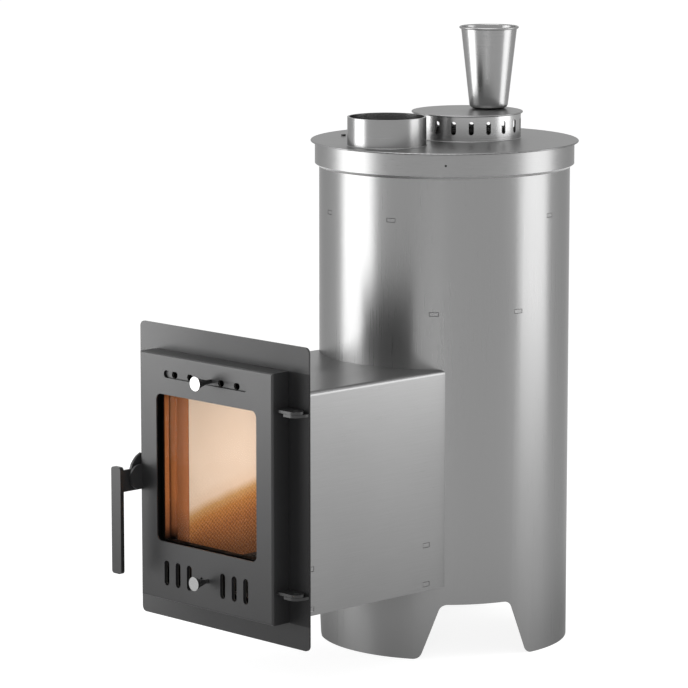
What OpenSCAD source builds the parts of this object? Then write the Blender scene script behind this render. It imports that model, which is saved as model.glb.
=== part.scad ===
// Wood-fired sauna stove with a closed heater, a fuel channel and a glazed door.
// Millimetres, +Z up, front towards -Y. The origin is the casing's axis on the floor.

/* [Casing] */
// Outer radius of the convector casing
casing_r = 185; // [180:1:192]
// Thickness of the casing sheet
casing_t = 1.5; // [1:0.25:2.5]
// Height from the floor to the top of the lid
stove_h = 742.5; // [700:2.5:790]
// Gap between the firebox and the outside of the casing
jacket_gap = 15; // [12:1:18]
// Number of legs
leg_n = 3; // [3:1:4]
// Height of the cut-outs between the legs
leg_cut_h = 82; // [60:1:90]
// Half width of a cut-out at the floor
leg_cut_floor = 81.3; // [70:1:90]
// Half width of a cut-out at its top
leg_cut_top = 52; // [40:1:60]
// Corner radius of the cut-outs
leg_cut_round = 13; // [3:1:16]
// Width of a spacer tab
tab_w = 12.6; // [8:0.5:16]
// Height of a spacer tab
tab_h = 5; // [4:0.5:8]
// Angle of a tab from the middle of its leg or its cut-out
tab_turn = 20; // [14:1:26]
// Clearance of a tab in its slot
tab_gap = 0.6; // [0.4:0.1:0.9]
// Upper row of spacers below the top of the firebox's top plate
tab_upper_down = 3; // [3:1:40]
// Lower row of spacers below the top of the firebox's top plate
tab_lower_down = 137; // [100:1:160]
// Firebox top plate's underside below the lid's top
fire_drop = 102.5; // [95:0.5:120]
// Thickness of the firebox top plate
fire_plate_t = 6; // [5:0.5:8]
// Smoke baffle below the firebox top plate
baffle_drop = 80; // [60:5:100]
// Gap between the smoke baffle and the heater
baffle_gap = 13.1; // [8:0.1:20]

/* [Lid] */
// Thickness of the lid sheet
lid_t = 2.5; // [2:0.25:4]
// Lid edge beyond the casing
lid_overhang = 12.6; // [10:0.5:16]
// Band beyond the casing
band_step = 6.3; // [5:0.5:8]
// Thickness of the band
band_t = 2; // [1.5:0.25:2.5]
// Height of the band's straight part
band_h = 31.5; // [24:1:40]
// Height of the band's sloped lower edge
band_slope = 4.5; // [3:0.5:6]
// Radius of a band screw
band_screw_r = 1.6; // [1.2:0.1:2.5]
// Height of the band screws above the band's straight lower edge
band_screw_up = 15.5; // [10:0.5:20]
// Number of band screws
band_screw_n = 4; // [3:1:6]
// Radius of the lid plug's shank
plug_r = 2.2; // [1.5:0.1:3]
// Distance of the lid plug from the axis
plug_reach = 155.4; // [150:1:165]
// Height of the lid plug's head
plug_head = 2.4; // [1.5:0.1:3]

/* [Flue] */
// Outer radius of the flue collar
flue_r = 57.5; // [50:0.5:58]
// Wall of the flue collar
flue_t = 3; // [2.5:0.25:4]
// Shoulder of the collar on the lid
flue_step = 1.2; // [1.1:0.1:1.5]
// Flue axis in front of the casing's axis
flue_off = 119.7; // [116:0.5:122]
// Height of the collar above the lid
flue_rise = 41.7; // [30:1:60]
// Radius of the smoke outlet in the firebox top
throat_r = 46; // [40:0.5:48]

/* [Heater] */
// Outer radius of the closed heater and its ring
heater_r = 79.5; // [70:0.5:82]
// Wall of the closed heater
heater_t = 3; // [2:0.5:4]
// Heater axis behind the casing's axis
heater_off = 47.6; // [45:0.5:60]
// Height of the heater's underside above the floor
heater_bot = 330; // [300:5:420]
// Wall of the slotted ring
ring_t = 2; // [1.5:0.25:2.5]
// Height of the slotted ring
ring_h = 36.3; // [32:0.5:50]
// Number of slots in the ring
ring_slot_n = 19; // [12:1:24]
// Width of a ring slot
ring_slot_w = 7.5; // [5:0.5:9]
// Height of a ring slot
ring_slot_h = 19.4; // [14:0.2:21]
// Lower end of the ring slots above the lid
ring_slot_up = 10.1; // [6:0.1:10.5]
// Disc beyond the ring
disc_over = 3; // [1:0.5:6]
// Thickness of the disc
disc_t = 2.5; // [2:0.25:4]
// Height of the spigot below the disc
spigot_h = 5.5; // [3:0.5:6]
// Wall of the spigot
spigot_t = 1.5; // [1:0.25:2.5]
// Clearance between the spigot and the ring
spigot_gap = 0.6; // [0.4:0.1:1]

/* [Cup] */
// Radius of the cup's base
cup_base_r = 29; // [24:0.5:32]
// Radius of the cup below its lip
cup_top_r = 41.6; // [36:0.5:46]
// Height of the cup
cup_h = 122.2; // [90:1:140]
// Wall of the cup
cup_t = 1; // [0.8:0.1:1.5]
// Radius of the rolled lip
cup_lip_r = 1.8; // [1.5:0.1:2.5]
// Rounding of the cup's foot
cup_foot_r = 8; // [5:0.5:10]
// Cup axis behind the casing's axis
cup_off = 93.3; // [80:0.5:94]

/* [Channel] */
// Half width of the channel's outer cover
cover_half = 131.3; // [126:1:134]
// Height of the cover's lower edge
cover_bot = 109.6; // [104:0.2:112]
// Height of the cover's top face
cover_top = 428.5; // [424:0.5:440]
// Thickness of the cover sheet
cover_t = 1.5; // [1:0.25:2]
// Bend radius of the cover's top edges
cover_bend = 6; // [4:0.5:8]
// Half width of the fuel duct
duct_half = 105; // [102:0.5:110]
// Height of the duct's underside
duct_bot = 115; // [114:0.5:118]
// Height of the duct's top
duct_top = 412; // [408:0.5:416]
// Wall of the duct
duct_t = 4; // [3:0.5:5]
// Firebox floor below the duct's underside
floor_drop = 11; // [9:0.5:13]
// Width of a side spacer
side_tab_w = 12; // [8:0.5:14]
// Height of a side spacer
side_tab_h = 6; // [5:0.5:7.5]
// Lower side spacers above the cover's lower edge
side_tab_up = 9.4; // [9.2:0.1:20]
// Upper side spacers above the lower ones
side_tab_pitch = 57.5; // [40:0.5:80]
// Front side spacers behind the portal plate
side_tab_front = 42; // [35:1:70]
// Rear side spacers in front of the casing
side_tab_rear = 17; // [12:1:30]
// Thickness of the side linings
lining_t = 24; // [18:1:26]
// Rear end of the side linings in front of the casing's axis
lining_end = 150; // [145:1:165]
// Wall of the grate rails
rail_t = 4; // [3:0.5:5]
// Height of the grate rails
rail_h = 27; // [24:1:32]
// Gap between the grate and the linings
rail_gap = 1; // [0.5:0.1:2]
// Thickness of the grate
grate_t = 10; // [8:1:14]
// Rear end of the grate in front of the casing's axis
grate_end = 100.1; // [85:0.1:115]
// Grate behind the portal plate
grate_in = 40; // [30:1:50]
// Number of grate slots
grate_slot_n = 12; // [6:1:16]
// Width of a grate slot
grate_slot_w = 8; // [5:0.5:10]
// Wall of the ash pan
pan_t = 1.5; // [1:0.25:2]
// Height of the ash pan
pan_h = 23; // [18:1:24]
// Rear end of the ash pan in front of the casing's axis
pan_end = 170.1; // [150:0.1:190]
// Ash pan behind the portal plate
pan_in = 45; // [35:1:60]
// Gap between the ash pan and the rails
pan_gap = 5; // [3:0.5:8]

/* [Portal] */
// Width of the portal plate
portal_w = 351.6; // [340:1:370]
// Height of the portal plate's lower edge
portal_bot = 73.4; // [60:1:90]
// Height of the portal plate
portal_h = 427.2; // [415:1:440]
// Thickness of the portal plate
portal_t = 3; // [2:0.5:5]
// Distance of the portal's front face from the axis
portal_reach = 443.1; // [430:1:470]
// Corner radius of the portal plate
portal_round = 8; // [4:1:12]

/* [Door] */
// Width of the door
door_w = 277.3; // [272:0.5:282]
// Door's centre line, to the right of the stove's
door_shift = -3.15; // [-5:0.1:-2]
// Height of the door's lower edge
door_bot = 108.4; // [104:0.5:110]
// Height of the door
door_h = 355.4; // [352:0.5:362]
// Depth of the door from its face to the portal
door_depth = 31.3; // [31:0.1:34]
// Gap between the door's rim and the portal
door_gap = 0.9; // [0.5:0.1:1.5]
// Thickness of the door sheet
door_t = 2; // [1.5:0.25:2]
// Bend radius of the door's front edges
door_bend = 3; // [2:0.5:4]
// Window's sides in from the door's, before its shift
win_side = 33.9; // [33:0.1:43]
// Window's centre line, to the right of the door's
win_shift = 1.2; // [0:0.1:2]
// Window's lower edge above the door's
win_up = 85.1; // [84:0.1:90]
// Window's top below the door's top
win_down = 56.8; // [56:0.1:70]
// Corner radius of the window
win_round = 9; // [5:0.5:12]
// Glass behind the door's face
glass_recess = 9.5; // [9:0.1:10]
// Thickness of the glass
glass_t = 4; // [3:0.5:4.5]
// Glass beyond the window on each side
glass_margin = 11; // [9:0.5:12]
// Width of the glass gasket
gasket_w = 9; // [7:0.5:9]
// Width of the retainer frame
retainer_w = 10; // [8:0.5:11]
// Thickness of the inner panel
panel_t = 2; // [1.5:0.25:2.5]
// Room behind the inner panel for the seal
seal_room = 3.9; // [3.5:0.1:4.5]
// Width of the door seal
seal_w = 10; // [8:0.5:12]
// Seal in from the door's edge
seal_in = 14; // [12:0.5:16]

/* [Air slides] */
// Length of the upper slot
up_slot_l = 173.5; // [165:0.5:180]
// Height of the upper slot
up_slot_h = 10.8; // [9:0.2:12]
// Upper slot below the door's top
up_slot_down = 27.1; // [26:0.1:30]
// Half the height of an upper air hole
up_hole_r = 5; // [4:0.1:5.2]
// Width of an upper air hole
up_hole_w = 12; // [10.6:0.1:13]
// Spacing of the upper air holes
up_pitch = 32.5; // [30:0.5:34]
// Upper slide's centre, to the right of the door's
up_shift = -2.4; // [-4:0.1:0]
// Upper slide's recess behind the door sheet
up_recess = 1.6; // [1:0.1:2]
// Travel of the upper slide
up_travel = 16; // [14:0.5:18]
// Upper knob to the right of the door's centre
up_knob_x = 8.1; // [6:0.1:10]
// Width of a lower slot
low_slot_w = 10.4; // [8:0.2:11]
// Height of a lower slot
low_slot_h = 36.4; // [28:0.2:38]
// Centre of the lower slots above the door's lower edge
low_slot_up = 40; // [38:0.5:44]
// Spacing of the lower slots
low_pitch = 24; // [22:0.5:26]
// Innermost lower slot from the door's centre
low_inner = 35.2; // [33:0.2:38]
// Travel of the lower slide
low_travel = 12; // [10:0.5:12.5]
// Lower knob to the right of the door's centre
low_knob_x = 3.2; // [2:0.1:6]
// Lower knob above the slots' centre
low_knob_up = 2; // [-2:0.1:3]
// Thickness of the slides
slide_t = 1.5; // [1:0.1:2]
// Slides beyond the openings that they cover
slide_over = 4; // [3:0.5:5]
// Clearance of the slides
slide_gap = 0.5; // [0.3:0.1:0.7]
// Radius of the knobs' faces
knob_r = 10; // [8:0.5:12]
// Knobs' length from the door's face
knob_l = 26; // [22:1:32]
// Radius of the knobs' necks
neck_r = 3; // [2.4:0.1:3.2]
// Thickness of the knobs' bright faces
face_t = 1.2; // [0.8:0.1:2]

/* [Hinges and latch] */
// Radius of the hinge pins
pin_r = 4; // [3:0.25:5]
// Radius round the hinge pins
strap_r = 11.2; // [10:0.1:11.5]
// Thickness of the hinge straps
strap_t = 4; // [3:0.5:5]
// Hinge axis in front of the portal
pin_out = 12.2; // [12:0.1:14]
// Hinge axis right of the door's side
pin_side = 26.9; // [24:0.1:29]
// Upper door strap below the door's top
strap_down = 54.6; // [46:0.1:75]
// Lower door strap above the door's lower edge
strap_lower = 43.9; // [40:0.5:60]
// Running gap between strap and lug
strap_gap = 0.3; // [0.2:0.1:0.6]
// Radial clearance in the turning bores
bore_gap = 0.05; // [0.03:0.01:0.08]
// Thickness of the handle's ear, lever and keeper
lever_t = 4; // [3:0.5:4]
// Radius of the ear's round end
ear_r = 18; // [16:0.5:20]
// Handle axis in front of the door's face
ear_out = 3.6; // [3:0.1:5]
// Handle axis above the door's lower edge
ear_up = 173.2; // [160:0.5:185]
// Gap between the ear and the lever
ear_gap = 4.2; // [4:0.1:5]
// Radius of the handle pin
handle_pin_r = 4; // [3:0.25:4.5]
// Length of the grip
grip_l = 155.5; // [130:0.5:180]
// Width of the grip
grip_w = 20; // [16:0.5:22]
// Thickness of the grip
grip_t = 6.5; // [5:0.5:8]
// Grip's back in front of the handle axis
grip_out = 31.5; // [30:0.5:36]
// Grip's top above the handle axis
grip_up = 17.9; // [16:0.1:20]
// Rounding of the grip's ends
grip_round = 4.5; // [2:0.5:5]
// Radius of the keeper pin
keeper_r = 3.5; // [3:0.1:3.5]
// Keeper pin behind the handle axis
keeper_back = 22; // [21.8:0.1:22.2]
// Keeper pin below the handle axis
keeper_down = 5; // [4.8:0.1:5]

/* [Hidden] */

// How far a cutting tool passes the face that it cuts
over = 1;
// Small gap where two welded pieces meet on a curve
weld_gap = 0.2;
// Gap at a tab, a screw or a pipe that passes through sheet
pass_gap = 0.3;
// Seat of a loose piece
seat_gap = 0.3;
round_fn = 96;
small_fn = 40;

// Lid, band and casing heights
lid_under = stove_h - lid_t;
lid_r = casing_r + lid_overhang;
band_r = casing_r + band_step;
band_low = lid_under - band_h;
casing_h = lid_under - lid_t;
casing_in = casing_r - casing_t;

// Firebox
fire_r = casing_r - jacket_gap;
fire_t = duct_t;
fire_in = fire_r - fire_t;
floor_top = duct_bot - floor_drop;
fire_top = stove_h - fire_drop;
baffle_z = fire_top - baffle_drop;
baffle_back = heater_r - heater_off + baffle_gap;
tab_upper_z = fire_top + fire_plate_t - tab_upper_down;
tab_lower_z = fire_top + fire_plate_t - tab_lower_down;

// Heater and disc
heater_top = lid_under - seat_gap;
ring_in = heater_r - ring_t;
disc_z = stove_h + ring_h + seat_gap;
disc_r = heater_r + disc_over;
cup_z = disc_z + disc_t + seat_gap;

// Front pieces, all measured from the casing's axis
portal_y = -portal_reach;
portal_back = portal_y + portal_t;
duct_in = duct_half - duct_t;
duct_floor = duct_bot + duct_t;
duct_ceiling = duct_top - duct_t;
lining_in = duct_in - lining_t;
rail_in = lining_in - rail_gap - rail_t;
grate_slot_share = 0.72;
grate_l = -portal_back - grate_in - grate_end;
pan_l = -portal_back - pan_in - pan_end;
door_y = portal_y - door_depth;
door_rim = portal_y - door_gap;
door_x0 = door_shift - door_w / 2;
door_x1 = door_shift + door_w / 2;
door_top = door_bot + door_h;
win_w = door_w - 2 * win_side;
win_h = door_h - win_up - win_down;
skin_back = door_y + door_t;
win_x = door_shift + win_shift;
win_bot = door_bot + win_up;
glass_y = door_y + glass_recess;
glass_back = glass_y + glass_t;
panel_back = portal_y - seal_room;
panel_front = panel_back - panel_t;
screw_r = 2;
screw_head_r = 4;
screw_head_t = 1.8;

// Air slides
up_z = door_top - up_slot_down;
up_x = door_shift + up_shift;
up_y = skin_back + up_recess;
up_half_h = up_slot_h / 2 + slide_over;
up_half_l = up_slot_l / 2 + slide_over;
guide_t = 1.5;
low_z = door_bot + low_slot_up;
low_y = skin_back + slide_gap;
low_half_h = low_slot_h / 2 + slide_over + slide_t;
low_half_l = low_inner + 2 * low_pitch + low_slot_w / 2 + slide_over;
low_stem_z = low_z + low_knob_up;
stem_gap = 0.6;

// Hinges
hinge_x = door_x1 + pin_side;
hinge_y = portal_y - pin_out;
strap_zs = [door_top - strap_down, door_bot + strap_lower];
lug_w = 26;

// Handle and keeper
handle_y = door_y - ear_out;
handle_z = door_bot + ear_up;
ear_x = door_x0;
lever_x = ear_x - ear_gap - lever_t;
keeper_y = handle_y + keeper_back;
keeper_z = handle_z - keeper_down;
keeper_x = lever_x - lever_t / 2 - lever_t;
// Keeper pin beyond the lever
keeper_pin_over = 1.7;
keeper_pin_l = lever_x + lever_t + keeper_pin_over - keeper_x;
keeper_round = 6;
keeper_half = 9;
spacer_r = 7;
cap_r = 6.5;
cap_t = 2.2;
// Arm's edges below and above the handle axis
arm_low = 20.1;
arm_high = 11.2;
// Nose of the lever: its front edge inside the keeper pin's back, its gap below the pin,
// its depth, its reach behind the pin and its bevel
nose_in = 0.7;
nose_gap = 0.5;
nose_h = 5;
nose_reach = 9;
nose_bevel = 2;
// Lever outline round the handle axis, as shares of its longest reach
lever_reach = 34;
lever_front_shares = [[-0.31, 0.33], [-0.3, 0.37], [-0.24, 0.53], [-0.13, 0.68], [0.04, 0.85],
  [0.26, 0.965]];
lever_back_shares = [[0.36, 0.91], [0.335, 0.7], [0.31, 0.47], [0.35, 0.28], [0.42, 0.05],
  [0.44, -0.3], [0.5, -0.41]];

steel = [0.62, 0.62, 0.61];
steel_dark = [0.42, 0.42, 0.42];
paint = [0.27, 0.27, 0.28];
paint_dark = [0.16, 0.16, 0.17];
brick = [0.72, 0.45, 0.28];
black = [0.06, 0.06, 0.06];

// Points of one rounded corner between its neighbours
function unit(v) = v / norm(v);
function corner(a, b, c, r, n) =
  let (u = unit(a - b))
  let (w = unit(c - b))
  let (half = acos(u * w) / 2)
  let (m = b + unit(u + w) * (r / sin(half)))
  let (p = b + u * (r / tan(half)) - m)
  let (q = b + w * (r / tan(half)) - m)
  let (s = atan2(p.y, p.x))
  let (d = atan2(q.y, q.x) - s)
  let (turn = d > 180 ? d - 360 : d < -180 ? d + 360 : d)
  [for (i = [0:n]) m + r * [cos(s + turn * i / n), sin(s + turn * i / n)]];
function rounded(pts, r, n = 6) =
  [for (i = [0:len(pts) - 1])
    each corner(pts[(i + len(pts) - 1) % len(pts)], pts[i], pts[(i + 1) % len(pts)], r, n)];
function box_pts(x0, z0, x1, z1) = [[x0, z0], [x1, z0], [x1, z1], [x0, z1]];

// A flat outline in X and Z, made solid from y0 towards the back
module plate_xz(y0, t) {
  translate([0, y0 + t, 0])
    rotate([90, 0, 0])
      linear_extrude(t)
        children();
}

// A flat outline in Y and Z, made solid from x0 towards the right
module plate_yz(x0, t) {
  translate([x0, 0, 0])
    rotate([90, 0, 90])
      linear_extrude(t)
        children();
}

module pipe(r, t, h) {
  difference() {
    cylinder(r = r, h = h, $fn = round_fn);
    translate([0, 0, -over])
      cylinder(r = r - t, h = h + 2 * over, $fn = round_fn);
  }
}

// An outline with round ends, w wide and h high
module obround(w, h) {
  r = min(w, h) / 2;
  square([w > h ? w - 2 * r : w, h > w ? h - 2 * r : h], center = true);
  for (s = [-1, 1])
    translate(w > h ? [s * (w / 2 - r), 0] : [0, s * (h / 2 - r)])
      circle(r, $fn = small_fn);
}

module frame_2d(x0, z0, x1, z1, w, r) {
  difference() {
    polygon(rounded(box_pts(x0, z0, x1, z1), r));
    polygon(rounded(box_pts(x0 + w, z0 + w, x1 - w, z1 - w), r / 2));
  }
}

// Places a child, drawn at the front, at a compass angle from the front
module at_angle(a) {
  rotate([0, 0, a])
    children();
}

// Upper tabs stand beside the middle of each leg, lower ones beside that of each cut-out
module tab_places() {
  for (i = [0:leg_n - 1])
    for (s = [-tab_turn, tab_turn]) {
      at_angle(s + i * 360 / leg_n)
        translate([0, 0, tab_upper_z])
          children();
      at_angle(s + (i + 0.5) * 360 / leg_n)
        translate([0, 0, tab_lower_z])
          children();
    }
}

// A trapezoid, rounded at its top and where it meets the floor
module leg_cut() {
  foot = [leg_cut_floor, 0];
  top = [leg_cut_top, leg_cut_h];
  side = concat(corner(2 * foot, foot, top, leg_cut_round, 8),
    corner(foot, top, [0, leg_cut_h], leg_cut_round, 8));
  half = concat([[side[0].x, -over]], side);
  plate_xz(-casing_r - over, casing_r / 2)
    polygon(concat(half, [for (i = [1:len(half)]) [-half[len(half) - i].x, half[len(half) - i].y]]));
}

module outer_casing() {
  color(steel)
    difference() {
      pipe(casing_r, casing_t, casing_h);
      for (i = [0:leg_n - 1])
        at_angle(180 / leg_n + i * 360 / leg_n)
          leg_cut();
      translate([-duct_half - pass_gap, -casing_r - over, duct_bot - pass_gap])
        cube([2 * duct_half + 2 * pass_gap, casing_r, duct_top - duct_bot + 2 * pass_gap]);
      tab_places()
        translate([-tab_w / 2 - tab_gap, -casing_r - over, -tab_h / 2 - tab_gap])
          cube([tab_w + 2 * tab_gap, jacket_gap, tab_h + 2 * tab_gap]);
      band_screw_places()
        cylinder(r = band_screw_r + pass_gap / 2, h = casing_r, $fn = small_fn);
    }
}

module casing_spacers() {
  color(steel_dark)
    difference() {
      tab_places()
        translate([-tab_w / 2, -casing_r + pass_gap, -tab_h / 2])
          cube([tab_w, jacket_gap + fire_t / 2, tab_h]);
      cylinder(r = fire_r + weld_gap, h = stove_h, $fn = round_fn);
    }
}

module firebox_shell() {
  color(steel_dark)
    difference() {
      translate([0, 0, floor_top])
        pipe(fire_r, fire_t, fire_top - floor_top);
      translate([-duct_in, -casing_r, duct_floor])
        cube([2 * duct_in, casing_r, duct_ceiling - duct_floor]);
    }
}

module firebox_floor() {
  color(steel_dark)
    translate([0, 0, floor_top - fire_t])
      cylinder(r = fire_r, h = fire_t, $fn = round_fn);
}

module firebox_top() {
  color(steel_dark)
    translate([0, 0, fire_top])
      difference() {
        union() {
          cylinder(r = fire_r, h = fire_plate_t, $fn = round_fn);
          translate([0, -flue_off, 0])
            cylinder(r = flue_r + flue_step, h = fire_plate_t, $fn = round_fn);
        }
        translate([0, -flue_off, -over])
          cylinder(r = throat_r, h = fire_plate_t + 2 * over, $fn = round_fn);
        translate([0, heater_off, -over])
          cylinder(r = heater_r + pass_gap, h = fire_plate_t + 2 * over, $fn = round_fn);
      }
}

module heater_vessel() {
  color(steel_dark)
    translate([0, heater_off, heater_bot])
      difference() {
        cylinder(r = heater_r, h = heater_top - heater_bot, $fn = round_fn);
        translate([0, 0, heater_t])
          cylinder(r = heater_r - heater_t, h = heater_top, $fn = round_fn);
      }
}

module smoke_baffle() {
  color(steel_dark)
    translate([0, 0, baffle_z])
      difference() {
        cylinder(r = fire_in - weld_gap, h = fire_t, $fn = round_fn);
        translate([-casing_r, -baffle_back, -over])
          cube([2 * casing_r, 2 * casing_r, fire_t + 2 * over]);
      }
}

// The collar rests on the lid with a small shoulder
module flue_collar() {
  foot = fire_top + fire_plate_t;
  color(steel)
    translate([0, -flue_off, 0])
      difference() {
        union() {
          translate([0, 0, foot])
            cylinder(r = flue_r - flue_step, h = stove_h - foot, $fn = round_fn);
          translate([0, 0, stove_h])
            cylinder(r = flue_r, h = flue_rise, $fn = round_fn);
        }
        translate([0, 0, foot - over])
          cylinder(r = flue_r - flue_t, h = stove_h, $fn = round_fn);
      }
}

module band_screw_places() {
  for (i = [0:band_screw_n - 1])
    at_angle(180 / band_screw_n + i * 360 / band_screw_n)
      translate([0, 0, band_low + band_screw_up])
        rotate([90, 0, 0])
          children();
}

module lid_plate() {
  edge = lid_t / 2;
  color(steel)
    difference() {
      union() {
        translate([0, 0, lid_under])
          cylinder(r = lid_r - edge, h = lid_t, $fn = round_fn);
        translate([0, 0, lid_under + edge])
          rotate_extrude($fn = round_fn)
            translate([lid_r - edge, 0])
              circle(edge, $fn = small_fn);
      }
      translate([0, -flue_off, lid_under - over])
        cylinder(r = flue_r - flue_step + pass_gap, h = lid_t + 2 * over, $fn = round_fn);
      translate([0, heater_off, lid_under - over])
        cylinder(r = heater_r - heater_t, h = lid_t + 2 * over, $fn = round_fn);
      at_plug()
        translate([0, 0, -over])
          cylinder(r = plug_r + pass_gap / 2, h = lid_t + 2 * over, $fn = small_fn);
    }
}

module lid_band() {
  color(steel)
    difference() {
      rotate_extrude($fn = round_fn)
        polygon([[casing_r + weld_gap, band_low - band_slope], [band_r, band_low],
          [band_r, lid_under], [band_r - band_t, lid_under],
          [band_r - band_t, band_low + band_t / 2],
          [casing_r + weld_gap, band_low - band_slope + band_t]]);
      band_screw_places()
        cylinder(r = band_screw_r + pass_gap / 2, h = lid_r, $fn = small_fn);
    }
}

module band_screws() {
  color(black)
    band_screw_places()
      translate([0, 0, casing_in - band_t])
        cylinder(r = band_screw_r, h = band_r - casing_in + band_t - weld_gap, $fn = small_fn);
}

module at_plug() {
  at_angle(-60.7)
    translate([0, -plug_reach, lid_under])
      children();
}

module lid_plug() {
  color(steel_dark)
    at_plug() {
      cylinder(r = plug_r, h = lid_t + plug_head / 2, $fn = small_fn);
      translate([0, 0, lid_t])
        cylinder(r = plug_r * 1.6, h = plug_head, $fn = 6);
    }
}

module valve_ring() {
  color(steel)
    translate([0, heater_off, stove_h])
      difference() {
        pipe(heater_r, ring_t, ring_h);
        for (i = [0:ring_slot_n - 1])
          at_angle(48.5 + i * 360 / ring_slot_n)
            translate([0, 0, ring_slot_up + ring_slot_h / 2])
              plate_xz(-heater_r - over, ring_t * 3)
                obround(ring_slot_w, ring_slot_h);
      }
}

module valve_disc() {
  color(steel)
    translate([0, heater_off, disc_z]) {
      cylinder(r = disc_r - disc_t / 2, h = disc_t, $fn = round_fn);
      translate([0, 0, disc_t / 2])
        rotate_extrude($fn = round_fn)
          translate([disc_r - disc_t / 2, 0])
            circle(disc_t / 2, $fn = small_fn);
    }
}

module valve_spigot() {
  color(steel_dark)
    translate([0, heater_off, disc_z - spigot_h])
      pipe(ring_in - spigot_gap, spigot_t, spigot_h);
}

module cup() {
  top = cup_h - cup_lip_r;
  lean = (cup_top_r - cup_base_r) / (top - cup_foot_r);
  foot = [for (a = [0:15:90])
    [cup_base_r - cup_foot_r + cup_foot_r * sin(a), cup_foot_r - cup_foot_r * cos(a)]];
  inner = [for (a = [90:-15:0])
    [cup_base_r - cup_foot_r + (cup_foot_r - cup_t) * sin(a),
      cup_foot_r - (cup_foot_r - cup_t) * cos(a)]];
  color(steel)
    translate([0, cup_off, cup_z]) {
      rotate_extrude($fn = round_fn)
        polygon(concat([[0, 0]], foot, [[cup_top_r, top], [cup_top_r - cup_t, top]], inner,
          [[0, cup_t]]));
      translate([0, 0, top])
        rotate_extrude($fn = round_fn)
          translate([cup_top_r + cup_lip_r - cup_t, 0])
            circle(cup_lip_r, $fn = small_fn);
    }
}

module channel_casing() {
  outer = concat([[-cover_half, cover_bot], [cover_half, cover_bot]],
    corner([cover_half, cover_bot], [cover_half, cover_top], [-cover_half, cover_top],
      cover_bend, 8),
    corner([cover_half, cover_top], [-cover_half, cover_top], [-cover_half, cover_bot],
      cover_bend, 8));
  in_half = cover_half - cover_t;
  in_top = cover_top - cover_t;
  inner = concat([[-in_half, cover_bot - over], [in_half, cover_bot - over]],
    corner([in_half, cover_bot], [in_half, in_top], [-in_half, in_top],
      cover_bend - cover_t, 8),
    corner([in_half, in_top], [-in_half, in_top], [-in_half, cover_bot],
      cover_bend - cover_t, 8));
  color(steel)
    difference() {
      plate_xz(portal_back, portal_reach - portal_t)
        difference() {
          polygon(outer);
          polygon(inner);
        }
      cylinder(r = casing_r + weld_gap, h = stove_h, $fn = round_fn);
      channel_tab_places(tab_gap, cover_half + over);
    }
}

// The four tabs on each side, where the cover is hooked to the duct
module channel_tab_places(grow, reach) {
  low = cover_bot + side_tab_up;
  for (s = [0, 1])
    mirror([s, 0, 0])
      for (y = [portal_back + side_tab_front, -casing_r + side_tab_rear])
        for (z = [low, low + side_tab_pitch])
          translate([duct_half, y - side_tab_w / 2 - grow, z - side_tab_h / 2 - grow])
            cube([reach - duct_half, side_tab_w + 2 * grow, side_tab_h + 2 * grow]);
}

module channel_spacers() {
  color(steel_dark)
    channel_tab_places(0, cover_half - pass_gap);
}

module fuel_channel() {
  color(steel_dark)
    difference() {
      translate([-duct_half, portal_back, duct_bot])
        cube([2 * duct_half, portal_reach - portal_t, duct_top - duct_bot]);
      translate([-duct_in, portal_back - over, duct_floor])
        cube([2 * duct_in, portal_reach, duct_ceiling - duct_floor]);
      cylinder(r = fire_r + weld_gap, h = stove_h, $fn = round_fn);
    }
}

module side_linings() {
  color(brick)
    for (s = [-1, 1])
      translate([s < 0 ? -duct_in : duct_in - lining_t, portal_back, duct_floor])
        cube([lining_t, -lining_end - portal_back, duct_ceiling - duct_floor]);
}

module grate_rails() {
  color(steel_dark)
    for (s = [-1, 1])
      translate([s < 0 ? -rail_in - rail_t : rail_in, portal_back + grate_in, duct_floor])
        cube([rail_t, grate_l, rail_h]);
}

module grate() {
  pitch = grate_l / (grate_slot_n + 1);
  half = lining_in - rail_gap;
  color(black)
    translate([0, portal_back + grate_in, duct_floor + rail_h])
      difference() {
        translate([-half, 0, 0])
          cube([2 * half, grate_l, grate_t]);
        for (i = [1:grate_slot_n])
          for (s = [-1, 1])
            translate([s * half / 2, i * pitch, -over])
              linear_extrude(grate_t + 2 * over)
                obround(half * grate_slot_share, grate_slot_w);
      }
}

module ash_pan() {
  half = rail_in - pan_gap;
  color(steel_dark)
    translate([-half, portal_back + pan_in, duct_floor + seat_gap])
      difference() {
        cube([2 * half, pan_l, pan_h]);
        translate([pan_t, pan_t, pan_t])
          cube([2 * half - 2 * pan_t, pan_l - 2 * pan_t, pan_h]);
      }
}

module portal_plate() {
  color(paint)
    plate_xz(portal_y, portal_t)
      difference() {
        polygon(rounded(box_pts(-portal_w / 2, portal_bot, portal_w / 2,
          portal_bot + portal_h), portal_round, 8));
        polygon(box_pts(-duct_in, duct_floor, duct_in, duct_ceiling));
      }
}

module lug_2d() {
  difference() {
    hull() {
      translate([hinge_x, hinge_y])
        circle(strap_r, $fn = small_fn);
      translate([hinge_x - lug_w / 2, hinge_y - strap_r])
        square([lug_w / 2, strap_r + pin_out]);
      translate([hinge_x, hinge_y + pin_out / 2])
        square([lug_w / 2, pin_out / 2]);
    }
    translate([hinge_x, hinge_y])
      circle(pin_r + pass_gap / 10, $fn = small_fn);
  }
}

module hinge_lugs() {
  color(paint)
    for (z = strap_zs)
      translate([0, 0, z - strap_gap - strap_t])
        linear_extrude(strap_t)
          lug_2d();
}

module hinge_pins() {
  color(steel_dark)
    for (z = strap_zs)
      translate([hinge_x, hinge_y, z - strap_gap - strap_t])
        cylinder(r = pin_r, h = 2 * strap_t + strap_gap, $fn = small_fn);
}

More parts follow.
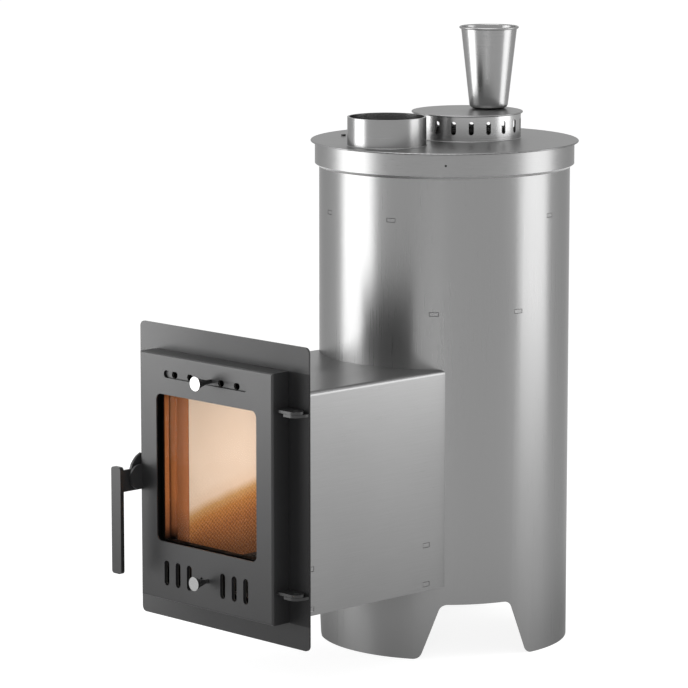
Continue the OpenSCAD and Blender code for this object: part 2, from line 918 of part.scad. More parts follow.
module door_straps() {
  color(paint)
    for (z = strap_zs)
      translate([0, 0, z])
        linear_extrude(strap_t)
          difference() {
            union() {
              translate([hinge_x, hinge_y])
                circle(strap_r, $fn = small_fn);
              translate([door_x1, hinge_y - strap_r])
                square([pin_side, strap_r * 2]);
            }
            translate([hinge_x, hinge_y])
              circle(pin_r + bore_gap, $fn = small_fn);
          }
}

module keeper_plate() {
  color(paint)
    plate_yz(keeper_x, lever_t)
      difference() {
        polygon(concat(
          corner([portal_y, keeper_z - keeper_half],
            [keeper_y - keeper_round, keeper_z - keeper_half],
            [keeper_y - keeper_round, keeper_z + keeper_half], keeper_round, 8),
          corner([keeper_y - keeper_round, keeper_z - keeper_half],
            [keeper_y - keeper_round, keeper_z + keeper_half],
            [portal_y, keeper_z + keeper_half], keeper_round, 8),
          [[portal_y, keeper_z + keeper_half], [portal_y, keeper_z - keeper_half]]));
        translate([keeper_y, keeper_z])
          circle(keeper_r + pass_gap / 10, $fn = small_fn);
      }
}

module keeper_pin() {
  color(steel_dark)
    translate([keeper_x, keeper_y, keeper_z])
      rotate([0, 90, 0])
        cylinder(r = keeper_r, h = keeper_pin_l, $fn = small_fn);
}

// Door box: the outline bends at its four front edges
module door_block() {
  intersection() {
    translate([0, 0, door_bot])
      linear_extrude(door_h)
        polygon(concat([[door_x1, door_rim], [door_x0, door_rim]],
          corner([door_x0, door_rim], [door_x0, door_y], [door_x1, door_y], door_bend, 6),
          corner([door_x0, door_y], [door_x1, door_y], [door_x1, door_rim], door_bend, 6)));
    plate_yz(door_x0, door_w)
      polygon(concat([[door_rim, door_top], [door_rim, door_bot]],
        corner([door_rim, door_bot], [door_y, door_bot], [door_y, door_top], door_bend, 6),
        corner([door_y, door_bot], [door_y, door_top], [door_rim, door_top], door_bend, 6)));
  }
}

module low_slots() {
  for (s = [-1, 1])
    for (i = [0:2])
      translate([door_shift + s * (low_inner + i * low_pitch), low_z])
        obround(low_slot_w, low_slot_h);
}

module up_holes() {
  for (s = [-1, 1])
    for (i = [1:2])
      translate([up_x + s * i * up_pitch, up_z])
        obround(up_hole_w, 2 * up_hole_r);
}

module door_shell() {
  color(paint)
    difference() {
      door_block();
      translate([door_x0 + door_t, skin_back, door_bot + door_t])
        cube([door_w - 2 * door_t, door_depth, door_h - 2 * door_t]);
      plate_xz(door_y - over, door_t + 2 * over)
        polygon(rounded(box_pts(win_x - win_w / 2, win_bot, win_x + win_w / 2,
          win_bot + win_h), win_round, 8));
      plate_xz(door_y - over, door_t + 2 * over)
        translate([door_shift, up_z])
          obround(up_slot_l, up_slot_h);
      plate_xz(door_y - over, door_t + 2 * over)
        low_slots();
      plate_xz(door_y - over, door_t + 2 * over)
        translate([door_shift + low_knob_x - low_travel / 2, low_stem_z])
          obround(low_travel + 2 * neck_r + 2 * stem_gap, 2 * neck_r + 2 * stem_gap);
    }
}

module door_inner_panel() {
  x0 = win_x - win_w / 2 - glass_margin + retainer_w / 2;
  x1 = win_x + win_w / 2 + glass_margin - retainer_w / 2;
  z0 = win_bot - glass_margin + retainer_w / 2;
  z1 = win_bot + win_h + glass_margin - retainer_w / 2;
  color(paint_dark)
    plate_xz(panel_front, panel_t)
      difference() {
        polygon(box_pts(door_x0 + door_t, door_bot + door_t, door_x1 - door_t,
          door_top - door_t));
        polygon(rounded(box_pts(x0, z0, x1, z1), win_round / 2));
        low_slots();
        up_holes();
        screw_places()
          circle(screw_r + pass_gap, $fn = small_fn);
      }
}

module door_glass() {
  m = glass_margin;
  color([0.5, 0.45, 0.4])
    plate_xz(glass_y, glass_t)
      polygon(rounded(box_pts(win_x - win_w / 2 - m, win_bot - m, win_x + win_w / 2 + m,
        win_bot + win_h + m), win_round / 2));
}

module glass_gasket() {
  color(black)
    plate_xz(skin_back, glass_recess - door_t)
      frame_2d(win_x - win_w / 2 - gasket_w, win_bot - gasket_w,
        win_x + win_w / 2 + gasket_w, win_bot + win_h + gasket_w, gasket_w, win_round * 2);
}

module glass_retainer() {
  m = glass_margin;
  color(steel_dark)
    difference() {
      plate_xz(glass_back, panel_front - glass_back)
        frame_2d(win_x - win_w / 2 - m, win_bot - m, win_x + win_w / 2 + m,
          win_bot + win_h + m, retainer_w, win_round);
      plate_xz(glass_back + retainer_w / 2, panel_front - glass_back)
        screw_places()
          circle(screw_r + weld_gap / 10, $fn = small_fn);
    }
}

// Retainer screws, along the middle of the retainer's sides
module screw_places() {
  in = glass_margin - retainer_w / 4;
  for (s = [-1, 1])
    for (k = [0.25, 0.75])
      translate([win_x + s * (win_w / 2 + in), win_bot + win_h * k])
        children();
  for (s = [0, 1])
    for (k = [-0.25, 0.25])
      translate([win_x + win_w * k, win_bot + s * win_h + (2 * s - 1) * in])
        children();
}

module retainer_screws() {
  color(steel)
    union() {
      plate_xz(glass_back + retainer_w / 2, panel_back - glass_back - retainer_w / 2)
        screw_places()
          circle(screw_r, $fn = small_fn);
      plate_xz(panel_back, screw_head_t)
        screw_places()
          circle(screw_head_r, $fn = small_fn);
    }
}

module door_seal() {
  i = seal_in;
  color([0.35, 0.33, 0.3])
    plate_xz(panel_back, seal_room - seat_gap)
      frame_2d(door_x0 + i, door_bot + i / 2, door_x1 - i, door_top - i / 2, seal_w / 2,
        seal_w / 2);
}

// Folded guides hold the slides behind the door sheet, from x0 to x1
module guide(x0, x1, z, half_h, front) {
  in_h = half_h + slide_gap;
  color(steel_dark)
    difference() {
      plate_xz(skin_back, front + guide_t - skin_back)
        polygon(box_pts(x0, z - in_h - guide_t, x1, z + in_h + guide_t));
      plate_xz(skin_back - over, front - skin_back + over)
        polygon(box_pts(x0 - over, z - in_h, x1 + over, z + in_h));
      plate_xz(front - over, guide_t + 2 * over)
        children();
    }
}

module upper_guide() {
  guide(up_x - up_half_l, up_x + up_half_l + up_travel, up_z, up_half_h,
    up_y + slide_t + slide_gap)
    up_holes();
}

module lower_guide() {
  guide(door_shift - low_half_l, door_shift + low_half_l + low_travel, low_z, low_half_h,
    low_y + slide_t + slide_gap)
    low_slots();
}

// Each slide is longer on the right by its travel, so it still covers when it is shut
module upper_slide() {
  color(paint)
    plate_xz(up_y, slide_t)
      difference() {
        polygon(box_pts(up_x - up_half_l, up_z - up_half_h, up_x + up_half_l + up_travel,
          up_z + up_half_h));
        up_holes();
      }
}

module lower_slide() {
  color(paint)
    plate_xz(low_y, slide_t)
      difference() {
        polygon(box_pts(door_shift - low_half_l, low_z - low_half_h,
          door_shift + low_half_l + low_travel, low_z + low_half_h));
        low_slots();
      }
}

// A turned knob that widens from its neck to its face
module knob(x, z, from_y) {
  face_y = door_y - knob_l;
  stem = from_y - face_y - face_t;
  flare = knob_l * 0.8;
  translate([x, from_y, z])
    rotate([90, 0, 0])
      rotate_extrude($fn = small_fn)
        polygon([[0, 0], [neck_r, 0], [neck_r, stem - flare],
          [knob_r * 0.58, stem - flare * 0.48], [knob_r * 0.92, stem], [0, stem]]);
}

module knob_face(x, z) {
  translate([x, door_y - knob_l + face_t, z])
    rotate([90, 0, 0])
      cylinder(r = knob_r, h = face_t, $fn = small_fn);
}

module upper_knob() {
  color(steel_dark)
    knob(door_shift + up_knob_x, up_z, up_y);
}

module upper_knob_face() {
  color([0.9, 0.9, 0.9])
    knob_face(door_shift + up_knob_x, up_z);
}

module lower_knob() {
  color(steel_dark)
    knob(door_shift + low_knob_x, low_stem_z, low_y);
}

module lower_knob_face() {
  color([0.75, 0.75, 0.75])
    knob_face(door_shift + low_knob_x, low_stem_z);
}

module handle_ear() {
  color(paint_dark)
    plate_yz(ear_x, lever_t)
      difference() {
        union() {
          translate([handle_y, handle_z])
            circle(ear_r, $fn = 64);
          translate([handle_y, handle_z - ear_r])
            square([ear_out, 2 * ear_r]);
        }
        translate([door_y, handle_z - 2 * ear_r])
          square([2 * ear_r, 4 * ear_r]);
        translate([handle_y, handle_z])
          circle(handle_pin_r + pass_gap / 10, $fn = small_fn);
      }
}

module handle_pin() {
  color(steel_dark)
    difference() {
      translate([lever_x - cap_t - seat_gap, handle_y, handle_z])
        rotate([0, 90, 0])
          cylinder(r = handle_pin_r, h = 2 * lever_t + ear_gap + cap_t + seat_gap,
            $fn = small_fn);
      translate([ear_x, door_y, handle_z - ear_r])
        cube([lever_t, ear_r, 2 * ear_r]);
    }
}

module pin_spacer() {
  color(steel)
    translate([lever_x + lever_t + seat_gap, handle_y, handle_z])
      rotate([0, 90, 0])
        difference() {
          cylinder(r = spacer_r, h = ear_gap - seat_gap, $fn = small_fn);
          translate([0, 0, -over])
            cylinder(r = handle_pin_r + pass_gap / 10, h = ear_gap + 2 * over, $fn = small_fn);
        }
}

module pin_cap() {
  color(paint_dark)
    translate([lever_x - cap_t - seat_gap, handle_y, handle_z])
      rotate([0, 90, 0])
        difference() {
          cylinder(r = cap_r, h = cap_t, $fn = small_fn);
          translate([0, 0, -over])
            cylinder(r = handle_pin_r + pass_gap / 10, h = cap_t + 2 * over, $fn = small_fn);
        }
}

// Arm, claw and nose of the lever in one plate
module handle_lever() {
  nose_y = keeper_back + keeper_r - nose_in;
  nose_top = -keeper_down - keeper_r - nose_gap;
  rest_y = keeper_back + nose_reach;
  front = [for (p = lever_front_shares) p * lever_reach];
  back = [for (p = lever_back_shares) p * lever_reach];
  color(paint_dark)
    plate_yz(lever_x, lever_t)
      translate([handle_y, handle_z])
        difference() {
          polygon(concat([[-grip_out, -arm_low], [-grip_out, arm_high]], front, back,
            [[nose_y, nose_top - nose_h], [nose_y, nose_top],
              [rest_y - nose_bevel, nose_top], [rest_y, nose_top - nose_bevel],
              [rest_y, nose_bevel - arm_low], [rest_y - nose_bevel, -arm_low]]));
          circle(handle_pin_r + bore_gap, $fn = small_fn);
        }
}

module handle_grip() {
  x0 = lever_x + lever_t / 2 - grip_w / 2;
  z1 = handle_z + grip_up;
  color(paint)
    plate_xz(handle_y - grip_out - grip_t, grip_t)
      polygon(rounded(box_pts(x0, z1 - grip_l, x0 + grip_w, z1), grip_round));
}

outer_casing();
casing_spacers();
firebox_shell();
firebox_floor();
firebox_top();
heater_vessel();
smoke_baffle();
flue_collar();
lid_plate();
lid_band();
band_screws();
lid_plug();
valve_ring();
channel_casing();
channel_spacers();
fuel_channel();
side_linings();
grate_rails();
grate();
ash_pan();
portal_plate();
hinge_lugs();
hinge_pins();
keeper_plate();
keeper_pin();
valve_disc();
valve_spigot();
cup();
door_shell();
door_inner_panel();
door_glass();
glass_gasket();
glass_retainer();
retainer_screws();
door_seal();
door_straps();
handle_ear();
handle_pin();
pin_spacer();
pin_cap();
upper_guide();
lower_guide();
handle_lever();
handle_grip();
upper_slide();
upper_knob();
upper_knob_face();
lower_slide();
lower_knob();
lower_knob_face();
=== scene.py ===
"""Looks of the sauna stove: materials, soft seals, welds, studio and camera.

Everything is in metres in the CAD's frame: +Z up, the door towards -Y. A value named
GRAIN is a noise's spots per metre, and a colour is in linear light.
"""
import math

import bmesh
import bpy
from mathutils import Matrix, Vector


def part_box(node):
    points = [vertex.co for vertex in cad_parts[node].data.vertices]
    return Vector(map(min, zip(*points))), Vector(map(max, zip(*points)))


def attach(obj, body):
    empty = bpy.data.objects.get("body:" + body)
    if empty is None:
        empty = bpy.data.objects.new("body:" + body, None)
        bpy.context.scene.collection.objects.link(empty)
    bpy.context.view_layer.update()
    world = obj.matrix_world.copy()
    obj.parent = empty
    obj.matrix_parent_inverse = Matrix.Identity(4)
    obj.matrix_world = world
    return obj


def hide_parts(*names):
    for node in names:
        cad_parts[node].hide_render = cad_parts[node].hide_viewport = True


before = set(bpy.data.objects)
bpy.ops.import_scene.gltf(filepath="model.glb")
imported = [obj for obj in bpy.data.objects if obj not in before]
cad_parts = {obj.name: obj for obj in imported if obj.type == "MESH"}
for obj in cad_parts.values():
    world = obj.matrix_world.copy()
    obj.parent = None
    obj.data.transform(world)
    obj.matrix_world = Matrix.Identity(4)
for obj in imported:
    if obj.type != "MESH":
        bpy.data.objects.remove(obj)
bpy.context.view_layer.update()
MM = 0.001


# Places from the frame

def axis_of(node):
    """The upright axis of a round node, as its point on the floor."""
    lo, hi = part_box(node)
    return ((lo.x + hi.x) / 2, (lo.y + hi.y) / 2, 0)


# Node helpers for materials

NOISE_EDGE = 0.3
WITHOUT_Z = (1, 1, 0)


def triple(value):
    """A number three times, or three numbers as they are."""
    return (value,) * 3 if isinstance(value, (int, float)) else tuple(value)


def opaque(colour):
    """A level or colour with full alpha, or a socket as it is."""
    return colour if isinstance(colour, bpy.types.NodeSocket) else triple(colour) + (1.0,)


def feed(tree, node, **inputs):
    """Sets inputs to constants or sockets; _ stands for a space, and i2 for input 2."""
    for key, value in inputs.items():
        numbered = key[0] == "i" and key[1:].isdigit()
        socket = node.inputs[int(key[1:]) if numbered else key.replace("_", " ")]
        if isinstance(value, bpy.types.NodeSocket):
            tree.links.new(value, socket)
        else:
            socket.default_value = value


def add(tree, kind, props=None, **inputs):
    """Adds a node with its properties and its inputs, as feed() takes them."""
    node = tree.nodes.new("ShaderNode" + kind)
    for key, value in (props or {}).items():
        setattr(node, key, value)
    feed(tree, node, **inputs)
    return node


def show(tree, shader):
    """Makes a shader the surface of its material."""
    out = next(node for node in tree.nodes if node.type == "OUTPUT_MATERIAL")
    tree.links.new(shader, out.inputs["Surface"])


def new_material(name):
    """A material that shows an unset Principled shader, its node tree and that shader."""
    mat = bpy.data.materials.new(name)
    mat.use_nodes = True
    tree = mat.node_tree
    tree.nodes.clear()
    tree.nodes.new("ShaderNodeOutputMaterial")
    bsdf = tree.nodes.new("ShaderNodeBsdfPrincipled")
    show(tree, bsdf.outputs[0])
    return mat, tree, bsdf


def position(tree):
    """A point's place on the object, as the outputs X, Y and Z in metres."""
    tex = add(tree, "TexCoord")
    return add(tree, "SeparateXYZ", Vector=tex.outputs["Object"]).outputs


def coords(tree, scale, turn=(0, 0, 0)):
    """A point's place times a scale, and then turned."""
    tex = add(tree, "TexCoord")
    mapping = add(tree, "Mapping", Vector=tex.outputs["Object"], Scale=triple(scale),
                  Rotation=turn)
    return mapping.outputs[0]


def noise(tree, vector, scale=1.0, detail=3.0, rough=0.55):
    """A noise of a vector, from 0 to 1."""
    spots = add(tree, "TexNoise", Vector=vector, Scale=scale, Detail=detail, Roughness=rough)
    return spots.outputs["Fac"]


def grain_noise(tree, grain, **finer):
    """A noise over the object; grain is its spots per metre, one number or X, Y and Z."""
    return noise(tree, coords(tree, grain), **finer)


def ramp(tree, fac, *stops):
    """A colour ramp; each stop is (place, value or colour)."""
    node = add(tree, "ValToRGB", Fac=fac)
    elements = node.color_ramp.elements
    while len(elements) < len(stops):
        elements.new(0.5)
    for element, (place, value) in zip(elements, stops):
        element.position = place
        element.color = opaque(value)
    return node.outputs["Color"]


def two_tone(tree, fac, low, high, edge=NOISE_EDGE):
    """A ramp from low to high between edge and 1 - edge, where nearly all of a noise lies."""
    return ramp(tree, fac, (edge, low), (1 - edge, high))


def vary(tree, fac, value, low, high, edge=NOISE_EDGE):
    """A ramp from low times to high times a value or colour."""
    parts = triple(value)
    return two_tone(tree, fac, [part * low for part in parts], [part * high for part in parts],
                    edge)


def math_node(tree, op, a, b=0.0, clamp=False):
    """The result of a Math node, held between 0 and 1 where clamp says so."""
    return add(tree, "Math", {"operation": op, "use_clamp": clamp}, i0=a, i1=b).outputs[0]


def weighted(tree, a, b, share):
    """A share of a and the rest of b."""
    return math_node(tree, "ADD", math_node(tree, "MULTIPLY", a, share),
                     math_node(tree, "MULTIPLY", b, 1 - share))


def wavering(tree, value, wander, reach):
    """A value that a noise raises by up to reach."""
    return math_node(tree, "ADD", value, math_node(tree, "MULTIPLY", wander, reach))


def share_of_band(tree, value, start, band, clamp=False):
    """How far a value is from start, as a share of a band, which may go down."""
    return math_node(tree, "MULTIPLY", math_node(tree, "SUBTRACT", value, start), 1 / band,
                     clamp)


def beyond(tree, value, middle, half):
    """How far a value lies outside the stretch of half on each side of middle."""
    off = math_node(tree, "ABSOLUTE", math_node(tree, "SUBTRACT", value, middle))
    return math_node(tree, "SUBTRACT", off, half)


def radius_from(tree, centre):
    """A point's distance from the upright axis through centre."""
    tex = add(tree, "TexCoord")
    shift = add(tree, "VectorMath", {"operation": "SUBTRACT"}, i0=tex.outputs["Object"],
                i1=centre)
    flat = add(tree, "VectorMath", {"operation": "MULTIPLY"}, i0=shift.outputs[0],
               i1=WITHOUT_Z)
    return add(tree, "VectorMath", {"operation": "LENGTH"}, i0=flat.outputs[0]).outputs["Value"]


def mix(tree, fac, a, b, blend="MIX"):
    """Colour a, with b blended in by fac."""
    node = add(tree, "Mix", {"data_type": "RGBA", "blend_type": blend}, i0=fac, i6=opaque(a),
               i7=opaque(b))
    return node.outputs[2]


def bump(tree, bsdf, height, depth, strength):
    """Relief of a height from 0 to 1 over a depth in metres."""
    relief = add(tree, "Bump", Height=height, Distance=depth, Strength=strength)
    feed(tree, bsdf, Normal=relief.outputs[0])


# Steels

EDGE_TINT = (0.65, 0.65, 0.65, 1)
DOWN_FULL = -0.5
PATCH_GRAIN = (5, 5, 3)
SPUN_PATCH_GRAIN = 9
SCALE_BLOTCH_GRAIN = (30, 30, 22)
SCALE_FINE_GRAIN = 400
SCALE_DARK = (0.084, 0.081, 0.0768)
SCALE_LIGHT = (0.15, 0.144, 0.132)
POLISH_GRAIN = (700, 20, 700)


def brushed(name, level, rough, grain, aniso, spread=0.06, painted_light_under=0.0, turn=0.0, relief=0.5):
    """Ground steel; level is its brightness, and grain has few spots along the streaks.

    spread is how far the level varies, and relief how strong the streaks are. under is
    the level of faces that look down: painted light that lifts their dark reflection.
    aniso and turn are the shader's anisotropy and its rotation.
    """
    mat, tree, bsdf = new_material(name)
    streaks = grain_noise(tree, grain, detail=4.0, rough=0.6)
    patches = grain_noise(tree, PATCH_GRAIN)
    both = weighted(tree, streaks, patches, share=0.55)
    colour = vary(tree, both, level, low=1 - spread, high=1 + spread)
    # Painted light: faces that look down get a brighter level than the steel has
    if painted_light_under:
        normal = add(tree, "NewGeometry").outputs["Normal"]
        up = add(tree, "SeparateXYZ", Vector=normal).outputs["Z"]
        down = share_of_band(tree, up, 0.0, DOWN_FULL, clamp=True)
        colour = mix(tree, down, colour, painted_light_under)
    feed(tree, bsdf, Base_Color=colour, Metallic=1.0, Specular_Tint=EDGE_TINT,
         Roughness=vary(tree, both, rough, low=0.85, high=1.15), Anisotropic=aniso,
         Anisotropic_Rotation=turn)
    bump(tree, bsdf, streaks, depth=0.06 * MM, strength=relief)
    return mat


def turned(name, level, rough, centre, rings=700.0):
    """Spun steel with fine rings, so many per metre, round an upright axis."""
    mat, tree, bsdf = new_material(name)
    place = add(tree, "CombineXYZ", X=radius_from(tree, centre), Y=position(tree)["Z"])
    lines = noise(tree, place.outputs[0], rings, rough=0.7)
    patches = grain_noise(tree, SPUN_PATCH_GRAIN)
    both = weighted(tree, lines, patches, share=0.5)
    feed(tree, bsdf, Base_Color=vary(tree, both, level, low=0.93, high=1.07),
         Roughness=vary(tree, both, rough, low=0.8, high=1.2), Metallic=1.0,
         Specular_Tint=EDGE_TINT)
    bump(tree, bsdf, lines, depth=0.05 * MM, strength=0.5)
    return mat


def scaled_steel(name, rough):
    """Hot rolled inner steel with a blotchy scale and a faint straw tint from heat."""
    mat, tree, bsdf = new_material(name)
    blotch = grain_noise(tree, SCALE_BLOTCH_GRAIN, detail=6.0, rough=0.65)
    fine = grain_noise(tree, SCALE_FINE_GRAIN, rough=0.6)
    tone = weighted(tree, blotch, fine, share=0.7)
    feed(tree, bsdf, Base_Color=two_tone(tree, tone, SCALE_DARK, SCALE_LIGHT),
         Roughness=vary(tree, tone, rough, low=0.85, high=1.15), Metallic=0.85)
    bump(tree, bsdf, tone, depth=0.2 * MM, strength=0.5)
    return mat


def polished(name, level, rough):
    """Bright turned steel of pins and knobs."""
    mat, tree, bsdf = new_material(name)
    fine = grain_noise(tree, POLISH_GRAIN, rough=0.6)
    feed(tree, bsdf, Base_Color=vary(tree, fine, level, low=0.94, high=1.05),
         Roughness=vary(tree, fine, rough, low=0.7, high=1.4), Metallic=1.0)
    bump(tree, bsdf, fine, depth=0.03 * MM, strength=0.4)
    return mat


# Heat-browned sheet: brown between the embers' level and the window's top, sooty elsewhere,
# and black as painted shade close behind the glass

STAIN_WANDER_GRAIN = 30
STAIN_WANDER = 0.01
STAIN_SPECKLE_GRAIN = 420
STAIN_SPECKLE = 0.8
STAIN_LOW_Z = 0.2
STAIN_BAND = 0.06
STAIN_LOW = (0.138, 0.053, 0.027)
STAIN_HIGH = (0.35, 0.135, 0.05)
CLEAR_MID_Z = 0.306
CLEAR_HALF_H = 0.109
# Black of soot, also used as painted shade close behind the glass
SOOT_AND_SHADE = (0.003, 0.003, 0.003)
SOOT_AND_SHADE_BAND = 0.018
SHADE_BEHIND_GLASS_Y = -0.458
SHADE_BEHIND_GLASS_RISE = 12.0


def heat_stain_and_shade(tree):
    """Brown of heated sheet, darker towards the embers, with painted shade behind the glass."""
    at = position(tree)
    wander = grain_noise(tree, STAIN_WANDER_GRAIN, detail=4.0)
    height = wavering(tree, at["Z"], wander, STAIN_WANDER)
    share = share_of_band(tree, height, STAIN_LOW_Z, STAIN_BAND)
    speckle = grain_noise(tree, STAIN_SPECKLE_GRAIN, rough=0.7)
    tone = ramp(tree, share, (0.0, STAIN_LOW), (1.0, STAIN_HIGH))
    dots = two_tone(tree, speckle, low=0.78, high=1.2)
    tone = mix(tree, STAIN_SPECKLE, tone, dots, "MULTIPLY")
    # Soot below the embers' level and above the window, and painted shade of the gasket
    # close behind the glass
    outside = beyond(tree, height, CLEAR_MID_Z, CLEAR_HALF_H)
    inside = math_node(tree, "MULTIPLY", outside, -1.0)
    behind = math_node(tree, "SUBTRACT", at["Y"], SHADE_BEHIND_GLASS_Y)
    behind = math_node(tree, "MULTIPLY", behind, SHADE_BEHIND_GLASS_RISE)
    inside = math_node(tree, "MINIMUM", inside, behind)
    clear = math_node(tree, "MULTIPLY", inside, 1 / SOOT_AND_SHADE_BAND, clamp=True)
    return mix(tree, clear, SOOT_AND_SHADE, tone)


def stained_steel(name):
    """Sheet near the fire, with its heat stain and painted shade close behind the glass."""
    mat, tree, bsdf = new_material(name)
    feed(tree, bsdf, Base_Color=heat_stain_and_shade(tree), Roughness=0.8, Specular_IOR_Level=0.05)
    return mat


# Stove paint

PEEL_GRAIN = 900
CLOUD_GRAIN = (7, 7, 5)
PAINT_BLACK = (0.012, 0.012, 0.0124)
PAINT_DARK_GREY = (0.014, 0.014, 0.0145)
SCREW_BLACK = (0.012, 0.012, 0.012)
PAINT_ROUGH = 0.37
MOUTH_HALF = 0.112
MOUTH_MID_Z = 0.2725
MOUTH_HALF_H = 0.1435
MOUTH_BAND = 0.008
MOUTH_WANDER = 0.005
DOOR_SIDE_X = 0.136
DOOR_MID_Z = 0.286
DOOR_HALF_H = 0.178
SHADED_GLOSS = 0.17
RAMP_MIDDLE = 0.5


def mouth_share(tree, wander):
    """1 in the plate's mouth and on its edge, and 0 beyond a narrow band round it."""
    at = position(tree)
    across = beyond(tree, at["X"], 0.0, MOUTH_HALF)
    up = beyond(tree, at["Z"], MOUTH_MID_Z, MOUTH_HALF_H)
    away = wavering(tree, math_node(tree, "MAXIMUM", across, up), wander, MOUTH_WANDER)
    return ramp(tree, share_of_band(tree, away, 0.0, MOUTH_BAND), (0.0, 1.0), (1.0, 0.0))


def beside_door(tree):
    """1 on the plate's strip beside the door, on the hinges' side, and 0 elsewhere."""
    at = position(tree)
    right = math_node(tree, "GREATER_THAN", at["X"], DOOR_SIDE_X)
    off = beyond(tree, at["Z"], DOOR_MID_Z, DOOR_HALF_H)
    return math_node(tree, "MULTIPLY", right, math_node(tree, "LESS_THAN", off, 0.0))


def painted_sheen_ramp(tree, gloss, axis, stops):
    """A gloss that changes along an axis, a painted reflection of the lamps' fall-off.

    Each stop is (place in metres, share of it). A ramp runs from 0 to 1, so its middle
    stands for the frame's 0.
    """
    place = math_node(tree, "ADD", position(tree)[axis], RAMP_MIDDLE)
    return ramp(tree, place, *((at + RAMP_MIDDLE, gloss * share) for at, share in stops))


def painted(name, colour, rough, gloss, mouth=False, painted_sheen_fade=None):
    """Baked stove paint with a fine orange peel, browned round the mouth if asked.

    fade is the axis and the stops that painted_sheen_ramp() takes, for a painted reflection.
    """
    mat, tree, bsdf = new_material(name)
    peel = grain_noise(tree, PEEL_GRAIN, detail=2.0, rough=0.5)
    cloud = grain_noise(tree, CLOUD_GRAIN, detail=4.0, rough=0.6)
    tone = weighted(tree, peel, cloud, share=0.25)
    body = vary(tree, tone, colour, low=0.85, high=1.15)
    if mouth:
        body = mix(tree, mouth_share(tree, cloud), body, heat_stain_and_shade(tree))
    feed(tree, bsdf, Base_Color=body, Specular_IOR_Level=gloss,
         Roughness=vary(tree, tone, rough, low=0.9, high=1.1))
    if painted_sheen_fade:
        sheen = painted_sheen_ramp(tree, gloss, *painted_sheen_fade)
        if mouth:
            # Painted shade: dullest beside the door, whose side hides the lamp's reflection
            # there
            sheen = mix(tree, beside_door(tree), sheen, gloss * SHADED_GLOSS)
        feed(tree, bsdf, Specular_IOR_Level=sheen)
    bump(tree, bsdf, peel, depth=0.08 * MM, strength=0.6)
    return mat


# Fire-clay lining

CLAY_WANDER_GRAIN = 14
CLAY_SPECKLE_GRAIN = 260
CLAY_CELL_GRAIN = 190
CLAY_WEAVE_GRAIN = 100
# The patch of painted light on the boards: its slope, level, soft edge and colours
LIGHT_POOL_SLOPE = 0.238
LIGHT_POOL_LEVEL = 0.254
LIGHT_POOL_BAND = 0.115
LIGHT_POOL_WANDER = 0.012
LIGHT_POOL_COLOURS = (
    (0.0, (0.2, 0.085, 0.036)),
    (0.4, (0.3, 0.12, 0.042)),
    (0.6, (0.43, 0.19, 0.058)),
    (0.72, (0.52, 0.31, 0.13)),
    (0.84, (0.74, 0.6, 0.48)),
    (1.0, (0.78, 0.66, 0.555)),
)
GRIT_FADE = ((0.5, 0.9), (0.8, 0.08))
CELL_DOTS = ((0.0, 0.86), (0.35, 1.0))
SHADE_START_Y = -0.44
SHADE_BAND = 1 / 9
SHADE_LEVEL = 0.8
FRONT_END_Y = -0.4385
END_LOW_Z = 0.21
END_BAND = 0.035
END_WANDER = 0.01
END_LOW = (0.15, 0.059, 0.026)
END_HIGH = (0.24, 0.09, 0.034)
ASH = (0.016, 0.011, 0.008)
ASH_SLOPE = 0.3
ASH_LEVEL = 0.052
ASH_BAND = 0.022


def clay_speckle(tree):
    """Grit of pressed clay, crossed by a faint weave."""
    speckle = grain_noise(tree, CLAY_SPECKLE_GRAIN, detail=4.0, rough=0.7)
    weave = [add(tree, "TexWave", {"bands_direction": "DIAGONAL"},
                 Vector=coords(tree, (CLAY_WEAVE_GRAIN, CLAY_WEAVE_GRAIN, up)), Scale=1.0,
                 Distortion=1.0, Detail=2.0, Detail_Scale=1.5).outputs["Fac"]
             for up in (-CLAY_WEAVE_GRAIN, CLAY_WEAVE_GRAIN)]
    crossed = weighted(tree, *weave, share=0.5)
    return weighted(tree, speckle, crossed, share=0.7)


